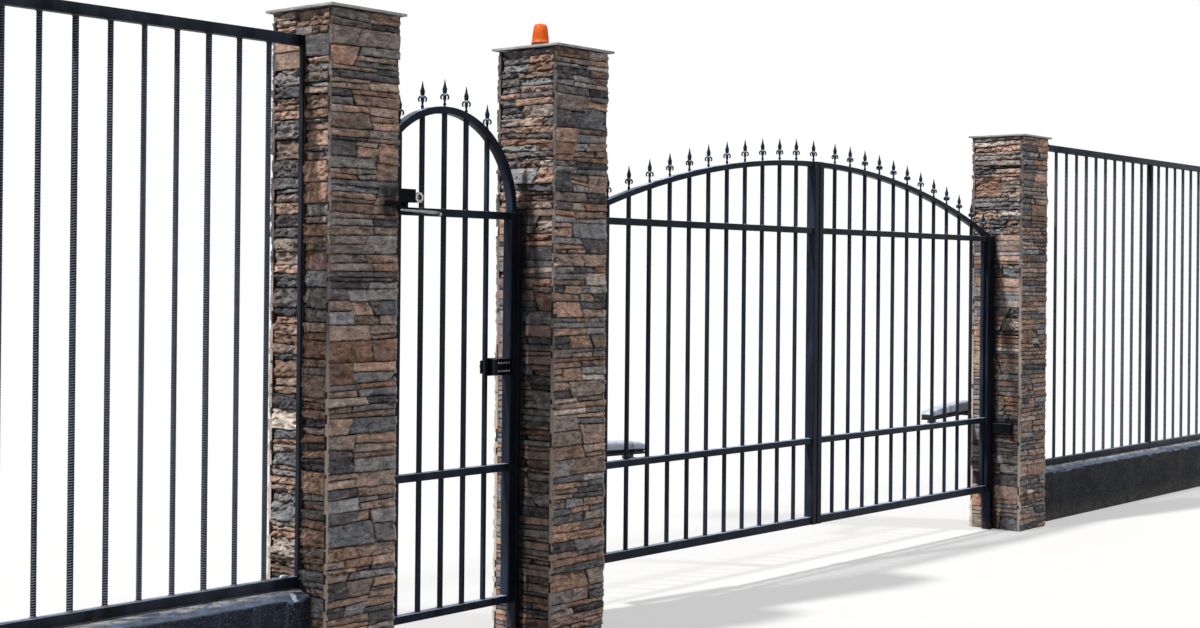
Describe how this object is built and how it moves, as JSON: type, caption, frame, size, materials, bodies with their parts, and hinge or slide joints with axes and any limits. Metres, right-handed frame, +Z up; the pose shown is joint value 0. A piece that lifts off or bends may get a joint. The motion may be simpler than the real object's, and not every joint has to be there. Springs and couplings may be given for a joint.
{
  "type": "driveway gate",
  "caption": "Gateway with stone-faced pillars, an arched double-leaf wrought iron driveway gate with arm openers, an arched wicket gate and railings on low plinths",
  "frame": {"origin": "Middle of the middle pillar's base, on the flat face that stands on its foundation", "axes": "+X runs along the gate line from the wicket towards the driveway, +Y into the yard, the side the gates open to, and +Z up"},
  "size_m": [13.14, 0.5121, 2.931],
  "materials": {
    "stone_veneer": "split stacked ledge stone, matte",
    "cap_sheet": "weathered light sheet, matte",
    "lamp_plastic": "matte",
    "lamp_lens": "orange, semi-gloss",
    "painted_concrete": "worn black paint on concrete",
    "railing_steel": "matte black paint with some rust",
    "gate_steel": "satin black paint",
    "lock_metal": "dark satin with bare metal buttons",
    "closer_black": "satin black, edges worn",
    "closer_silver": "bare, lightly weathered",
    "bracket_steel": "zinc plated",
    "opener_base": "dark satin",
    "opener_cover": "light grey, semi-matte"
  },
  "bodies": {
    "gateway": {"left_pillar": "stone_veneer", "middle_pillar": "stone_veneer", "right_pillar": "stone_veneer", "pillar_caps": "cap_sheet", "lamp_base": "lamp_plastic", "lamp_lens": "lamp_lens", "left_plinth": "painted_concrete", "left_railing": "railing_steel", "right_plinth": "painted_concrete", "right_railing": "railing_steel", "wicket_hinge_post": "gate_steel", "wicket_latch_post": "gate_steel", "left_hinge_post": "gate_steel", "right_hinge_post": "gate_steel", "closer_shoe": "gate_steel", "left_rear_bracket": "bracket_steel", "right_rear_bracket": "bracket_steel", "side_box": "gate_steel"},
    "wicket_leaf": {"wicket_stiles": "gate_steel", "wicket_rails": "gate_steel", "wicket_arch": "gate_steel", "wicket_bar_set": "gate_steel", "wicket_spears": "gate_steel", "lock_plate": "gate_steel", "lock_body": "lock_metal", "closer_plate": "gate_steel", "closer_body": "closer_black", "closer_plug": "closer_silver"},
    "closer_main_arm": {"closer_arm": "closer_silver"},
    "closer_link_arm": {"closer_forearm": "closer_silver"},
    "left_leaf": {"left_leaf_stiles": "gate_steel", "left_leaf_rails": "gate_steel", "left_leaf_arch": "gate_steel", "left_leaf_bar_set": "gate_steel", "left_leaf_spears": "gate_steel", "left_leaf_bracket": "gate_steel"},
    "left_opener": {"left_opener_base": "opener_base", "left_opener_cover": "opener_cover"},
    "left_carriage": {"left_opener_carriage": "opener_base"},
    "right_leaf": {"right_leaf_stiles": "gate_steel", "right_leaf_rails": "gate_steel", "right_leaf_arch": "gate_steel", "right_leaf_bar_set": "gate_steel", "right_leaf_spears": "gate_steel", "right_leaf_bracket": "gate_steel"},
    "right_opener": {"right_opener_base": "opener_base", "right_opener_cover": "opener_cover"},
    "right_carriage": {"right_opener_carriage": "opener_base"}
  },
  "joints": [
    {"name": "wicket_hinge", "type": "hinge", "parent": "gateway", "child": "wicket_leaf", "pos_m": [-1.161, 0.0825, 1.09], "axis": [0, 0, 1], "range_deg": [0, 90], "stiffness_Nm_per_rad": 8, "springref_deg": -34.38},
    {"name": "closer_spindle", "type": "hinge", "parent": "wicket_leaf", "child": "closer_main_arm", "pos_m": [-0.987, -0.008, 2], "axis": [0, 0, -1], "range_deg": [0, 118.43]},
    {"name": "closer_shoe_pin", "type": "hinge", "parent": "gateway", "child": "closer_link_arm", "pos_m": [-1.15, -0.15, 1.99], "axis": [0, 0, 1], "range_deg": [0, 41.05]},
    {"name": "left_leaf_hinge", "type": "hinge", "parent": "gateway", "child": "left_leaf", "pos_m": [0.234, 0.085, 1.135], "axis": [0, 0, 1], "range_deg": [0, 90]},
    {"name": "left_opener_pivot", "type": "hinge", "parent": "gateway", "child": "left_opener", "pos_m": [0.14, 0.255, 0.785], "axis": [0, 0, 1], "range_deg": [0, 95.2]},
    {"name": "left_opener_travel", "type": "slide", "parent": "left_opener", "child": "left_carriage", "axis": [-0.9883, 0.1523, 0], "range_m": [0, 0.271]},
    {"name": "right_leaf_hinge", "type": "hinge", "parent": "gateway", "child": "right_leaf", "pos_m": [4.546, 0.085, 1.135], "axis": [0, 0, -1], "range_deg": [0, 90]},
    {"name": "right_opener_pivot", "type": "hinge", "parent": "gateway", "child": "right_opener", "pos_m": [4.64, 0.255, 0.785], "axis": [0, 0, -1], "range_deg": [0, 95.2]},
    {"name": "right_opener_travel", "type": "slide", "parent": "right_opener", "child": "right_carriage", "axis": [0.9883, 0.1523, 0], "range_m": [0, 0.271]}
  ],
  "couplings": [
    {"joint": "closer_spindle", "follows": "wicket_hinge", "ratio": 1.3158},
    {"joint": "closer_shoe_pin", "follows": "wicket_hinge", "ratio": 0.45603},
    {"joint": "left_opener_pivot", "follows": "left_leaf_hinge", "ratio": 1.0577},
    {"joint": "left_opener_travel", "follows": "left_leaf_hinge", "m_per_rad": 0.17247},
    {"joint": "right_opener_pivot", "follows": "right_leaf_hinge", "ratio": 1.0577},
    {"joint": "right_opener_travel", "follows": "right_leaf_hinge", "m_per_rad": 0.17247}
  ]
}
